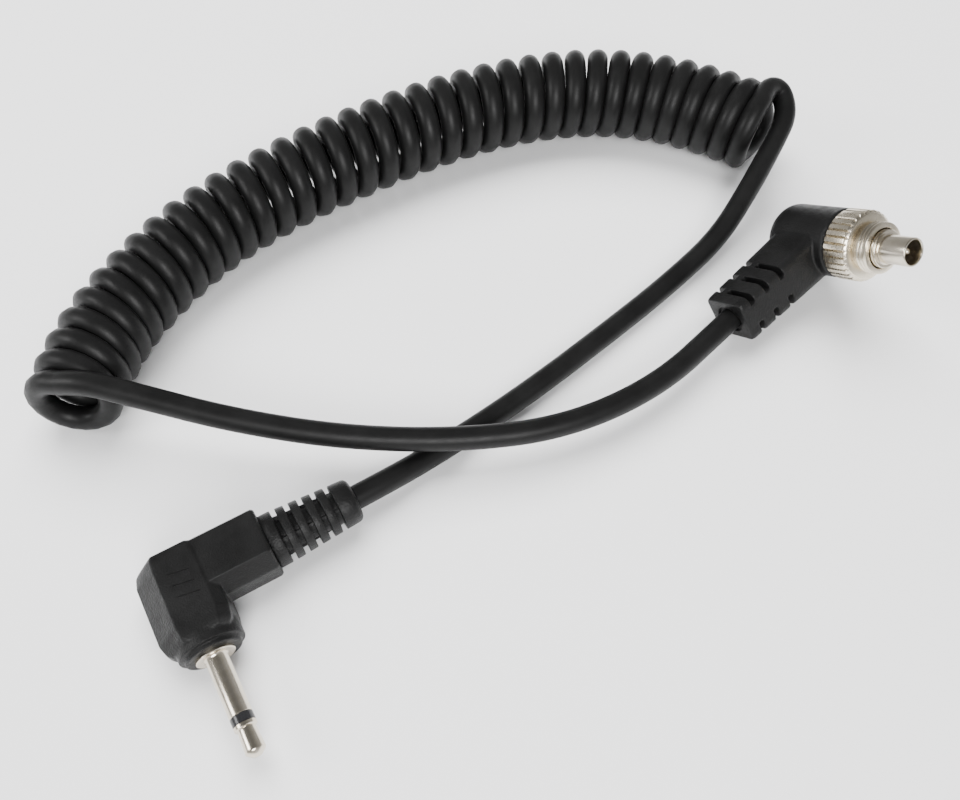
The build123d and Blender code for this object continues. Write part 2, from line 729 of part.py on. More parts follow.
pieces = {
    "jack_housing": jack_housing,
    "jack_strain_relief": jack_strain_relief,
    "jack_inner_mould": jack_inner_mould,
    "jack_sleeve": jack_sleeve,
    "jack_insulator": jack_insulator,
    "jack_tip": jack_tip,
    "jack_rear_washer": jack_rear_washer,
    "jack_ground_lug": jack_ground_lug,
    "jack_tip_lug": jack_tip_lug,
    "jack_core_wire": jack_core_wire,
    "jack_drain_wire": jack_drain_wire,
    "jack_solder": jack_solder,
    "jack_lead": jack_lead,
    "curly_cord": curly_cord,
    "pc_lead": pc_lead,
    "pc_housing": pc_housing,
    "pc_inner_mould": pc_inner_mould,
    "pc_body": pc_body,
    "pc_sleeve": pc_sleeve,
    "pc_insulator": pc_insulator,
    "pc_pin": pc_pin,
    "pc_lock_ring": pc_lock_ring,
    "pc_snap_ring": pc_snap_ring,
    "pc_ground_lug": pc_ground_lug,
    "pc_core_wire": pc_core_wire,
    "pc_drain_wire": pc_drain_wire,
    "pc_solder": pc_solder,
}
for name, piece in pieces.items():
    save(piece, name)
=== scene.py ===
"""Looks of the coiled flash sync cord: a 2.5 mm jack plug, a curly cord and a sync plug with a lock ring."""

import json
from math import cos, pi, radians, sin, tau

import bmesh
import bpy
from mathutils import Matrix, Vector


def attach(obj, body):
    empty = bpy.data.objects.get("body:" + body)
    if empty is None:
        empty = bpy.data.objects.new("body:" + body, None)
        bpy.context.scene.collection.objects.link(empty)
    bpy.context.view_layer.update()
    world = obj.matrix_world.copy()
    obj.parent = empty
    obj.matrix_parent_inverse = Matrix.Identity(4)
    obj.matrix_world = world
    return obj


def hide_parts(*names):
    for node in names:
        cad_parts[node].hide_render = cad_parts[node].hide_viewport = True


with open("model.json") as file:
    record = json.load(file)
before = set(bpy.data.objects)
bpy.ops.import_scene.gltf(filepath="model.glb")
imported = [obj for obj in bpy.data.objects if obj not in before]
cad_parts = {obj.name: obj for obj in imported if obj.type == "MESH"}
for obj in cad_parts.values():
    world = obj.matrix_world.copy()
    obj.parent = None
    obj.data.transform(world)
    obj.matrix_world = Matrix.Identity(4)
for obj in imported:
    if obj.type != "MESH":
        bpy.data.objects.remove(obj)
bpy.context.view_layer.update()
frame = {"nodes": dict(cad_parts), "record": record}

MM = 0.001

# ---------------------------------------------------------------- camera

CAMERA_AT = Vector((-7.96, -48.91, 101.5)) * MM
CAMERA_PITCH = 60.6
CAMERA_LENS = 33.75

camera = bpy.data.objects.new("camera", bpy.data.cameras.new("camera"))
camera.data.lens = CAMERA_LENS
camera.data.sensor_width = 36
camera.data.clip_start = 0.005
camera.location = CAMERA_AT
camera.rotation_euler = (radians(90 - CAMERA_PITCH), 0, 0)
bpy.context.scene.collection.objects.link(camera)
bpy.context.scene.camera = camera

# ---------------------------------------------------------------- frames of the two plugs


def plug_frame(origin, arm, across):
    """A matrix from a plug's own millimetres: x along the arm, y square to it near across, z the rest."""
    x = Vector(arm).normalized()
    z = x.cross(Vector(across)).normalized()
    y = z.cross(x)
    turn = Matrix((x, y, z)).transposed().to_4x4()
    return Matrix.Translation(Vector(origin) * MM) @ turn


JACK = plug_frame((-36.23, -25.6, 3.85), (0.867, 0.4985, 0), (-0.4985, 0.867, 0))
PC = plug_frame((37.49, 29.7, 6.22), (-0.734, -0.664, -0.142), (0.461, -0.64, 0.615))

# ---------------------------------------------------------------- cord

CORD_R = 1.5
COIL_MEAN_R = 4.8
COIL_TURNS = 36
TURN_POINTS = 20
PITCH_SWING = 0.013
NARROW_TURNS = 16
NARROWER = 0.6
LEANING_TURNS = 8
FIRST_LEAN = 1.8
LAST_LEAN = 0.8
LAST_OPENING = 2.2
TUBE_SIDES = 20
HEADING_STEPS = 4
OPENING_START = 0.08
OPENING_SPAN = 0.5
SYNC_CORD_START_X = 9
SYNC_CORD_STRAIGHT_X = 18.5
JACK_CABLE_Y = 9.2
JACK_CORD_STRAIGHT_X = 21.6
JACK_CORD_END_X = 9.8
CURVE_STEPS = 14

COIL_AXIS = [
    (-57.6, 5.0, 6.3),
    (-56.7, 13.0, 6.3),
    (-51.4, 23.3, 6.3),
    (-44.7, 31.9, 6.3),
    (-35.5, 39.4, 6.3),
    (-24.7, 46.2, 6.3),
    (-12.9, 52.4, 6.3),
    (-0.5, 56.7, 6.3),
    (11.5, 57.9, 6.3),
    (24.0, 55.2, 6.3),
    (31.9, 50.6, 6.3),
]
SYNC_LEAD = [
    (14.5, 8.1, 4.0),
    (2.3, 1.7, 4.8),
    (-10.5, -0.3, 5.4),
    (-24.0, -0.4, 6.3),
    (-37.0, 1.1, 7.8),
    (-48.5, 3.4, 9.9),
    (-54.4, 4.5, 11.1),
]
JACK_LEAD = [
    (33.1, 53.6, 11.1),
    (35.7, 54.4, 9.9),
    (36.3, 50.6, 8.6),
    (34.3, 46.8, 7.0),
    (30.6, 40.6, 4.9),
    (25.6, 33.2, 2.3),
    (18.6, 26.4, 1.5),
    (11.5, 19.9, 1.5),
    (-1.5, 8.7, 1.5),
    (-13.0, 0.1, 1.5),
]


def smooth_line(points, steps=CURVE_STEPS):
    """Points in metres along a smooth curve that follows a few control points in metres."""
    curve = bpy.data.curves.new("line", "CURVE")
    curve.dimensions = "3D"
    curve.resolution_u = steps
    spline = curve.splines.new("NURBS")
    spline.points.add(len(points) - 1)
    for control, point in zip(spline.points, points):
        control.co = (*point, 1)
    spline.order_u = 3
    spline.use_endpoint_u = True
    holder = bpy.data.objects.new("line", curve)
    bpy.context.scene.collection.objects.link(holder)
    depsgraph = bpy.context.evaluated_depsgraph_get()
    mesh = bpy.data.meshes.new_from_object(holder.evaluated_get(depsgraph))
    line = [vertex.co.copy() for vertex in mesh.vertices]
    bpy.data.meshes.remove(mesh)
    bpy.data.objects.remove(holder)
    bpy.data.curves.remove(curve)
    return line


def spaced_points(line, count):
    """Points along a line in count steps that are a little wider in its middle than at its ends."""
    reach = [0.0]
    for before, after in zip(line, line[1:]):
        reach.append(reach[-1] + (after - before).length)
    spots = []
    piece = 0
    for step in range(count + 1):
        share = step / count
        wanted = reach[-1] * (share - PITCH_SWING * sin(tau * share))
        while piece < len(line) - 2 and reach[piece + 1] < wanted:
            piece += 1
        share = (wanted - reach[piece]) / (reach[piece + 1] - reach[piece])
        spots.append(line[piece].lerp(line[piece + 1], share))
    return spots


def coil(axis):
    """A left-handed helix round a level axis, from the top of its first turn to the top of its last.

    The first NARROW_TURNS turns widen to full size. The turns at both ends lean outwards at the bottom,
    and the far side of the last one stands open."""
    steps = COIL_TURNS * TURN_POINTS
    spots = spaced_points(axis, steps)
    up = Vector((0, 0, 1))
    points = []
    for step, spot in enumerate(spots):
        heading = (spots[min(step + HEADING_STEPS, steps)] - spots[max(step - HEADING_STEPS, 0)]).normalized()
        far = up.cross(heading)
        turn = step / TURN_POINTS
        left = COIL_TURNS - turn
        phase = pi / 2 - tau * turn
        narrower = NARROWER * max(0.0, 1 - turn / NARROW_TURNS)
        radius = COIL_MEAN_R - narrower
        lean = LAST_LEAN * max(0.0, 1 - left / LEANING_TURNS)
        lean -= FIRST_LEAN * max(0.0, 1 - turn / LEANING_TURNS)
        along = lean * (1 - sin(phase)) / 2
        opening = min(max((1 - left - OPENING_START) / OPENING_SPAN, 0.0), 1.0)
        along += LAST_OPENING * sin(pi * opening) ** 2
        offset = radius * (cos(phase) * far + sin(phase) * up) - narrower * up + along * heading
        points.append(spot + offset * MM)
    return points


def tube(points, radius, sides):
    """Vertices and faces of a closed round tube along points, without twist."""
    verts, faces = [], []
    side = None
    for step, point in enumerate(points):
        ahead = points[min(step + 1, len(points) - 1)] - points[max(step - 1, 0)]
        ahead.normalize()
        if side is None:
            side = ahead.orthogonal().normalized()
        side = (side - ahead * side.dot(ahead)).normalized()
        up = ahead.cross(side)
        for k in range(sides):
            angle = tau * k / sides
            verts.append(point + radius * (cos(angle) * side + sin(angle) * up))
    for step in range(len(points) - 1):
        for k in range(sides):
            a = step * sides + k
            b = step * sides + (k + 1) % sides
            faces.append((a, b, b + sides, a + sides))
    faces.append(tuple(reversed(range(sides))))
    faces.append(tuple(range(len(verts) - sides, len(verts))))
    return verts, faces


# ---------------------------------------------------------------- materials


def material(name, color, roughness, metallic=0.0, specular=0.5):
    """A new material, its node tree and its shader."""
    made = bpy.data.materials.new(name)
    made.use_nodes = True
    tree = made.node_tree
    shader = tree.nodes["Principled BSDF"]
    shader.inputs["Base Color"].default_value = (*color, 1)
    shader.inputs["Roughness"].default_value = roughness
    shader.inputs["Metallic"].default_value = metallic
    shader.inputs["Specular IOR Level"].default_value = specular
    return made, tree, shader


def noise(tree, scale, detail=4.0, stretch=(1, 1, 1)):
    """A noise texture on the piece's own coordinates, in turns per millimetre."""
    position = tree.nodes.new("ShaderNodeTexCoord")
    mapping = tree.nodes.new("ShaderNodeMapping")
    mapping.inputs["Scale"].default_value = stretch
    grain = tree.nodes.new("ShaderNodeTexNoise")
    grain.inputs["Scale"].default_value = scale / MM
    grain.inputs["Detail"].default_value = detail
    tree.links.new(position.outputs["Object"], mapping.inputs["Vector"])
    tree.links.new(mapping.outputs["Vector"], grain.inputs["Vector"])
    return grain.outputs["Fac"]


def spread(tree, value, low, high, start=0.3, end=0.7):
    """A value moved from the range start..end to low..high."""
    remap = tree.nodes.new("ShaderNodeMapRange")
    remap.inputs["From Min"].default_value = start
    remap.inputs["From Max"].default_value = end
    remap.inputs["To Min"].default_value = low
    remap.inputs["To Max"].default_value = high
    tree.links.new(value, remap.inputs["Value"])
    return remap.outputs["Result"]


def blend_colors(tree, value, low, high):
    """A colour between low and high."""
    ramp = tree.nodes.new("ShaderNodeValToRGB")
    ramp.color_ramp.elements[0].position = 0.35
    ramp.color_ramp.elements[0].color = (*low, 1)
    ramp.color_ramp.elements[1].position = 0.65
    ramp.color_ramp.elements[1].color = (*high, 1)
    tree.links.new(value, ramp.inputs["Fac"])
    return ramp.outputs["Color"]


def bump(tree, shader, height, strength, distance):
    """Surface relief on a shader."""
    relief = tree.nodes.new("ShaderNodeBump")
    relief.inputs["Strength"].default_value = strength
    relief.inputs["Distance"].default_value = distance * MM
    tree.links.new(height, relief.inputs["Height"])
    tree.links.new(relief.outputs["Normal"], shader.inputs["Normal"])


def plastic(name, low, high, rough, grain_scale, grain_depth, specular=0.5):
    """Moulded plastic or rubber: two close tones, patchy gloss and a fine grain."""
    made, tree, shader = material(name, low, rough[0], specular=specular)
    patches = noise(tree, 0.25)
    tree.links.new(blend_colors(tree, patches, low, high), shader.inputs["Base Color"])
    tree.links.new(spread(tree, noise(tree, 1.1), *rough), shader.inputs["Roughness"])
    bump(tree, shader, noise(tree, grain_scale, 3), 1.0, grain_depth)
    return made


def turned_metal(name, low, high, rough):
    """Plated metal with fine turning marks round the y axis and a little tarnish."""
    made, tree, shader = material(name, low, rough[0], metallic=1.0)
    tarnish = noise(tree, 0.8)
    tree.links.new(blend_colors(tree, tarnish, low, high), shader.inputs["Base Color"])
    marks = noise(tree, 0.35, 3, stretch=(1, 30, 1))
    tree.links.new(spread(tree, marks, *rough), shader.inputs["Roughness"])
    bump(tree, shader, marks, 0.05, 0.004)
    return made


HOUSING = plastic("moulded_pvc", (0.004, 0.004, 0.004), (0.007, 0.007, 0.007), (0.36, 0.5), 5.0, 0.07, 0.22)
JACKET = plastic("cord_jacket", (0.004, 0.004, 0.004), (0.006, 0.006, 0.006), (0.4, 0.5), 5.0, 0.008, 0.2)
BAND = plastic("band_plastic", (0.008, 0.008, 0.009), (0.012, 0.012, 0.013), (0.2, 0.3), 5.0, 0.003)
DARK = plastic("dark_insulator", (0.02, 0.018, 0.016), (0.03, 0.027, 0.024), (0.45, 0.6), 5.0, 0.006)
PALE = plastic("inner_mould", (0.6, 0.59, 0.55), (0.68, 0.67, 0.62), (0.45, 0.6), 5.0, 0.01)
RED = plastic("wire_insulation", (0.5, 0.04, 0.03), (0.55, 0.06, 0.04), (0.4, 0.5), 5.0, 0.005)
NICKEL = turned_metal("nickel", (0.66, 0.60, 0.49), (0.72, 0.66, 0.56), (0.2, 0.26))
RING_NICKEL = turned_metal("ring_nickel", (0.70, 0.63, 0.50), (0.76, 0.69, 0.57), (0.24, 0.3))
BRASS = turned_metal("brass", (0.66, 0.5, 0.24), (0.72, 0.56, 0.3), (0.25, 0.4))
COPPER = turned_metal("copper", (0.72, 0.38, 0.22), (0.78, 0.45, 0.28), (0.25, 0.4))
SOLDER = turned_metal("solder", (0.55, 0.55, 0.56), (0.62, 0.62, 0.63), (0.3, 0.5))
STEEL = turned_metal("spring_steel", (0.45, 0.45, 0.46), (0.5, 0.5, 0.51), (0.25, 0.4))

SLOT_MATERIALS = {
    "housing": HOUSING,
    "cord": JACKET,
    "nickel": NICKEL,
    "ring_nickel": RING_NICKEL,
    "insulator": BAND,
    "dark_insulator": DARK,
    "inner_mould": PALE,
    "brass_lug": BRASS,
    "copper_wire": COPPER,
    "wire_insulation": RED,
    "solder": SOLDER,
    "spring_steel": STEEL,
}
for part in frame["record"]["subparts"]:
    node = frame["nodes"][part["node"]]
    node.data.materials.clear()
    node.data.materials.append(SLOT_MATERIALS[part["material_slot"]])

# ---------------------------------------------------------------- mesh tools, in millimetres


def scratch(name, verts, faces):
    """A mesh object of a closed shape, with its faces turned outwards."""
    mesh = bpy.data.meshes.new(name)
    shape = bmesh.new()
    corners = [shape.verts.new(vert) for vert in verts]
    for face in faces:
        shape.faces.new([corners[k] for k in face])
    bmesh.ops.remove_doubles(shape, verts=shape.verts, dist=1e-5)
    bmesh.ops.recalc_face_normals(shape, faces=shape.faces)
    shape.to_mesh(mesh)
    shape.free()
    made = bpy.data.objects.new(name, mesh)
    bpy.context.scene.collection.objects.link(made)
    return made


def applied(piece, kind, **settings):
    """The piece with one modifier applied."""
    modifier = piece.modifiers.new(kind, kind)
    for key, value in settings.items():
        setattr(modifier, key, value)
    depsgraph = bpy.context.evaluated_depsgraph_get()
    mesh = bpy.data.meshes.new_from_object(piece.evaluated_get(depsgraph))
    piece.modifiers.clear()
    piece.data = mesh
    return piece


def combine(piece, other, operation):
    """The piece joined with, or cut by, another, which is then removed."""
    applied(piece, "BOOLEAN", object=other, operation=operation, solver="EXACT")
    bpy.data.objects.remove(other)
    return piece


def loft(name, rings):
    """A closed shape through rings that all have the same number of points."""
    count = len(rings[0])
    verts = [point for ring in rings for point in ring]
    faces = []
    for step in range(len(rings) - 1):
        for k in range(count):
            a = step * count + k
            b = step * count + (k + 1) % count
            faces.append((a, b, b + count, a + count))
    faces.append(tuple(range(count)))
    faces.append(tuple(range(len(verts) - count, len(verts))))
    return scratch(name, verts, faces)


def lathe(name, outline, sides=96, knurl=None):
    """A closed outline of (radius, y) turned about the y axis. knurl gives the radius at an angle."""
    verts, faces = [], []
    for radius, y in outline:
        for k in range(sides):
            angle = tau * k / sides
            r = knurl(radius, y, angle) if knurl else radius
            verts.append((r * cos(angle), y, r * sin(angle)))
    count = len(outline)
    for step in range(count):
        after = (step + 1) % count
        for k in range(sides):
            k2 = (k + 1) % sides
            faces.append((step * sides + k, step * sides + k2, after * sides + k2, after * sides + k))
    return scratch(name, verts, faces)


def solid_lathe(name, outline, sides=96):
    """An outline of (radius, y) whose two ends lie on the y axis, turned about it."""
    verts, faces = [], []
    for radius, y in outline[1:-1]:
        for k in range(sides):
            angle = tau * k / sides
            verts.append((radius * cos(angle), y, radius * sin(angle)))
    verts += [(0, outline[0][1], 0), (0, outline[-1][1], 0)]
    rings = len(outline) - 2
    for k in range(sides):
        k2 = (k + 1) % sides
        for step in range(rings - 1):
            a = step * sides
            faces.append((a + k, a + k2, a + sides + k2, a + sides + k))
        faces.append((k, k2, rings * sides))
        last = (rings - 1) * sides
        faces.append((last + k, last + k2, rings * sides + 1))
    return scratch(name, verts, faces)


def place(piece, place_frame, body, nodes, slot_name, sharp=35):
    """Scale a finished piece to metres, put it in its plug's frame and hang it on its body."""
    piece.data.transform(Matrix.Scale(MM, 4))
    piece.matrix_world = place_frame
    piece.data.materials.clear()
    piece.data.materials.append(SLOT_MATERIALS[slot_name])
    for face in piece.data.polygons:
        face.use_smooth = True
        face.material_index = 0
    piece.data.set_sharp_from_angle(angle=radians(sharp))
    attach(piece, body)
    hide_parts(*nodes)
    return piece


def soften(piece, voxel, rounds):
    """One skin over all of a piece, with every edge rounded as a mould leaves it."""
    applied(piece, "REMESH", mode="VOXEL", voxel_size=voxel)
    applied(piece, "SMOOTH", factor=0.5, iterations=rounds)
    return piece


# ---------------------------------------------------------------- the cord itself

coil_axis = smooth_line([Vector(point) * MM for point in COIL_AXIS])
turns = coil(coil_axis)
sync_points = [PC @ Vector((x * MM, 0, 0)) for x in (SYNC_CORD_START_X, SYNC_CORD_STRAIGHT_X)]
sync_points += [Vector(point) * MM for point in SYNC_LEAD]
jack_points = [Vector(point) * MM for point in JACK_LEAD]
for x in (JACK_CORD_STRAIGHT_X, JACK_CORD_END_X):
    jack_points.append(JACK @ Vector((x * MM, JACK_CABLE_Y * MM, 0)))
sync_line = smooth_line(sync_points + [turns[0]])
jack_line = smooth_line([turns[-1]] + jack_points)
route = sync_line[:-1] + turns + jack_line[1:]

verts, faces = tube(route, CORD_R * MM, TUBE_SIDES)
mesh = bpy.data.meshes.new("cord")
mesh.from_pydata(verts, [], faces)
cord = bpy.data.objects.new("cord", mesh)
bpy.context.scene.collection.objects.link(cord)
for face in mesh.polygons:
    face.use_smooth = len(face.vertices) == 4
mesh.materials.append(JACKET)
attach(cord, "cord")
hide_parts("jack_lead", "curly_cord", "pc_lead")

# ---------------------------------------------------------------- jack plug

JACK_HEAD_SECTION = [
    (-2.1, 3.85),
    (2.5, 3.85),
    (3.65, 2.7),
    (3.65, -2.7),
    (2.5, -3.85),
    (-2.1, -3.85),
    (-4.8, -0.9),
    (-4.8, 0.9),
]
JACK_HEAD_MIDDLE_X = -0.2
# y, then the shares of the section's width and height there.
JACK_HEAD_STATIONS = [
    (1.9, 0.82, 0.93),
    (2.4, 0.92, 0.97),
    (3.7, 1, 1),
    (10.9, 1, 1),
    (12.1, 0.93, 0.98),
    (12.6, 0.84, 0.93),
]
JACK_ARM_SECTION = [
    (6.8, 3.65),
    (12.2, 3.65),
    (13.4, 1.4),
    (13.4, -1.4),
    (12.2, -3.65),
    (6.8, -3.65),
    (5.4, -1.4),
    (5.4, 1.4),
]
JACK_ARM_MIDDLE_Y = 9.4
# x, then the share of the section's size there.
JACK_ARM_STATIONS = [(-2.0, 0.9), (-1.4, 1), (9.8, 1), (10.1, 0.95)]
# Radius, near y and far y of the collars under the jack plug's head.
COLLARS = [(3.7, 0.95, 3.0), (3.15, 0.35, 2.0)]
BARREL_HOLE_R = 1.95
BARREL_HOLE_Y = (-1, 2.4)
SKIN_VOXEL = 0.11
SKIN_ROUNDS = 5
GRIP_LINES = [(0.3, 9.3), (0.4, 7.85), (0.5, 6.45)]
GRIP_TILT = -11
GRIP_HALF_LENGTH = 1.2
GRIP_HALF_WIDTH = 0.13
GRIP_DEPTH = 0.07
JACK_TOP_Z = 3.85

head = loft(
    "jack_shell",
    [
        [
            (JACK_HEAD_MIDDLE_X + (x - JACK_HEAD_MIDDLE_X) * wide, y, z * tall)
            for x, z in JACK_HEAD_SECTION
        ]
        for y, wide, tall in JACK_HEAD_STATIONS
    ],
)
arm = loft(
    "arm",
    [
        [
            (x, JACK_ARM_MIDDLE_Y + (y - JACK_ARM_MIDDLE_Y) * size, z * size)
            for y, z in JACK_ARM_SECTION
        ]
        for x, size in JACK_ARM_STATIONS
    ],
)
combine(head, arm, "UNION")
for radius, near, far in COLLARS:
    collar = solid_lathe("collar", [(0, near), (radius, near), (radius, far), (0, far)])
    combine(head, collar, "UNION")
near, far = BARREL_HOLE_Y
hole = solid_lathe("hole", [(0, near), (BARREL_HOLE_R, near), (BARREL_HOLE_R, far), (0, far)])
combine(head, hole, "DIFFERENCE")
soften(head, SKIN_VOXEL, SKIN_ROUNDS)
for line_x, line_y in GRIP_LINES:
    rings = []
    for z, flare in ((JACK_TOP_Z - GRIP_DEPTH, 0.4), (JACK_TOP_Z + 0.25, 1.6)):
        x, y = GRIP_HALF_LENGTH, GRIP_HALF_WIDTH * flare
        rings.append([(-x, -y, z), (x, -y, z), (x, y, z), (-x, y, z)])
    groove = loft("groove", rings)
    tilt = Matrix.Rotation(radians(GRIP_TILT), 4, "Z")
    groove.data.transform(Matrix.Translation((line_x, line_y, 0)) @ tilt)
    combine(head, groove, "DIFFERENCE")
place(head, JACK, "cord", ["jack_housing"], "housing")

RELIEF_START_X = 10.05
RELIEF_COLLAR_X = 11.3
RELIEF_END_X = 21.0
RELIEF_ROOT_R = 3.25
RELIEF_TIP_R = 2.65
RELIEF_MOUTH_R = 1.56
RIB_SLOTS = 5
RIB_FIRST_X = 11.9
RIB_PITCH = 1.62
RIB_SLOT = 0.6
RIB_FLOOR_R = 1.95
RIB_EDGE = 0.09
WEB_ANGLE = 35
WEB_HALF = 0.3
WEB_SINK = 0.8
RELIEF_SIDES = 120
# Distance back from the boot's end and how far its outside is drawn in there.
RELIEF_END_ROUND = [(0.55, 0), (0.3, 0.1), (0.08, 0.35), (0, 0.6)]


def relief_radius(x):
    """Radius of the boot's outside at x."""
    share = min(max((x - RELIEF_COLLAR_X) / (RELIEF_END_X - RELIEF_COLLAR_X), 0), 1)
    return RELIEF_ROOT_R + (RELIEF_TIP_R - RELIEF_ROOT_R) * share


def boot():
    """The ribbed boot behind the jack plug's arm, with webs that bridge its slots."""
    sides = RELIEF_SIDES
    stations = [(RELIEF_START_X, 0.12, False), (RELIEF_START_X + 0.12, 0, False)]
    stations += [(RELIEF_COLLAR_X, 0, False)]
    for slot in range(RIB_SLOTS):
        low = RIB_FIRST_X + slot * RIB_PITCH - RIB_SLOT / 2
        high = low + RIB_SLOT
        stations += [(low - RIB_EDGE, 0, False), (low - 0.03, 0.04, False), (low, RIB_EDGE, False)]
        stations += [(low + 0.02, 0, True), (high - 0.02, 0, True)]
        stations += [(high, RIB_EDGE, False), (high + 0.03, 0.04, False), (high + RIB_EDGE, 0, False)]
    stations += [(RELIEF_END_X - back, inset, False) for back, inset in RELIEF_END_ROUND]
    verts, faces = [], []
    for x, inset, sunk in stations:
        for k in range(sides):
            angle = tau * k / sides
            radius = relief_radius(x) - inset
            turned = angle - radians(WEB_ANGLE)
            across = min(abs(sin(turned)), abs(cos(turned))) * radius
            if sunk:
                radius = RIB_FLOOR_R if across > WEB_HALF else max(RIB_FLOOR_R, radius - WEB_SINK)
            verts.append((x, JACK_CABLE_Y - radius * sin(angle), radius * cos(angle)))
    for x in (RELIEF_END_X, RELIEF_END_X - 0.4, RELIEF_START_X):
        for k in range(sides):
            angle = tau * k / sides
            verts.append((x, JACK_CABLE_Y - RELIEF_MOUTH_R * sin(angle), RELIEF_MOUTH_R * cos(angle)))
    count = len(verts) // sides
    for step in range(count):
        after = (step + 1) % count
        for k in range(sides):
            k2 = (k + 1) % sides
            faces.append((step * sides + k, step * sides + k2, after * sides + k2, after * sides + k))
    return scratch("jack_boot", verts, faces)


place(boot(), JACK, "cord", ["jack_strain_relief"], "housing", sharp=50)

CONTACT_R = 1.25
FLANGE_R = 2.2
FLANGE_Y = 0.35
BARREL_R = 1.9
BARREL_END_Y = 4.0
SLEEVE_TIP_Y = -6.85
BAND_TIP_Y = -7.8
BAND_END_Y = 4.25
TIP_SHOULDER_Y = -8.3
TIP_NOSE_Y = -10.78
TIP_END_Y = -11.45
TIP_NOSE_R = 1.11
ROD_R = 0.55
ROD_END_Y = 5.3

sleeve = lathe(
    "jack_sleeve_contact",
    [
        (0.97, SLEEVE_TIP_Y),
        (CONTACT_R - 0.05, SLEEVE_TIP_Y),
        (CONTACT_R, SLEEVE_TIP_Y + 0.05),
        (CONTACT_R, -0.25),
        (1.3, -0.12),
        (1.42, 0),
        (FLANGE_R - 0.1, 0),
        (FLANGE_R, 0.08),
        (FLANGE_R, FLANGE_Y),
        (BARREL_R, FLANGE_Y),
        (BARREL_R, BARREL_END_Y),
        (0.97, BARREL_END_Y),
    ],
)
place(sleeve, JACK, "cord", ["jack_sleeve"], "nickel")
band = lathe(
    "jack_band",
    [
        (ROD_R + 0.02, BAND_TIP_Y),
        (CONTACT_R - 0.06, BAND_TIP_Y),
        (CONTACT_R, BAND_TIP_Y + 0.06),
        (CONTACT_R, SLEEVE_TIP_Y - 0.06),
        (CONTACT_R - 0.06, SLEEVE_TIP_Y),
        (0.94, SLEEVE_TIP_Y),
        (0.94, BAND_END_Y),
        (ROD_R + 0.02, BAND_END_Y),
    ],
)
place(band, JACK, "cord", ["jack_insulator"], "insulator")
tip = solid_lathe(
    "jack_tip_contact",
    [
        (0, TIP_END_Y),
        (0.3, TIP_END_Y + 0.01),
        (0.5, TIP_END_Y + 0.09),
        (TIP_NOSE_R - 0.07, TIP_NOSE_Y - 0.14),
        (TIP_NOSE_R, TIP_NOSE_Y),
        (TIP_NOSE_R - 0.01, TIP_NOSE_Y + 0.18),
        (0.98, TIP_SHOULDER_Y - 0.2),
        (0.99, TIP_SHOULDER_Y - 0.06),
        (CONTACT_R - 0.07, TIP_SHOULDER_Y),
        (CONTACT_R, TIP_SHOULDER_Y + 0.06),
        (CONTACT_R, BAND_TIP_Y - 0.06),
        (CONTACT_R - 0.07, BAND_TIP_Y),
        (ROD_R, BAND_TIP_Y),
        (ROD_R, ROD_END_Y),
        (0, ROD_END_Y),
    ],
)
place(tip, JACK, "cord", ["jack_tip"], "nickel", sharp=30)

# ---------------------------------------------------------------- sync plug

PC_HEAD_R = 4.5
PC_HEAD_BACK_Y = -5.4
PC_HEAD_FRONT_Y = 5.0
PC_HEAD_ROUND = 2.2
# x, then the arm's size along y, its size along z and its corner radius.
PC_ARM_SIZES = [(0.0, 7.4, 6.8, 1.3), (16.8, 6.45, 6.05, 0.9), (17.2, 6.2, 5.8, 0.8)]
PC_MOUTH_R = 1.95
PC_SLOT_XS = [15.2, 12.5, 9.8]
PC_SLOT_WIDTH = 0.8
PC_SLOT_FLOOR_R = 2.0
# Middle y and z, then the size along y and along z, of the cut at each corner of the arm.
PC_SLOT_CORNERS = [
    (2.6, 3.1, 6.6, 2.8),
    (-3.3, 2.8, 3.4, 3.6),
    (3.4, -2.9, 3.0, 3.4),
    (-3.2, -3.0, 3.6, 3.0),
]
PC_MOUTH_X = (16.7, 18)
PC_HOLE_Y = (2.6, 6)
CORE_END_X = 20
BODY_R = 2.4


def rounded_rectangle(width, height, corner, steps=4):
    """Points round a rectangle with rounded corners, width along the first axis."""
    points = []
    for quarter, (sx, sy) in enumerate(((1, 1), (-1, 1), (-1, -1), (1, -1))):
        for k in range(steps + 1):
            angle = pi / 2 * (quarter + k / steps)
            points.append(
                (
                    sx * (width / 2 - corner) + corner * cos(angle),
                    sy * (height / 2 - corner) + corner * sin(angle),
                )
            )
    return points


def box(name, low, high):
    """A closed box between two corners."""
    ring = [(low[1], low[2]), (high[1], low[2]), (high[1], high[2]), (low[1], high[2])]
    return loft(name, [[(x, y, z) for y, z in ring] for x in (low[0], high[0])])


def arm_rod(name, radius, near, far):
    """A closed round rod along the arm, between two distances from the head's middle."""
    rod = solid_lathe(name, [(0, near), (radius, near), (radius, far), (0, far)], 48)
    rod.data.transform(Matrix.Rotation(radians(-90), 4, "Z"))
    return rod


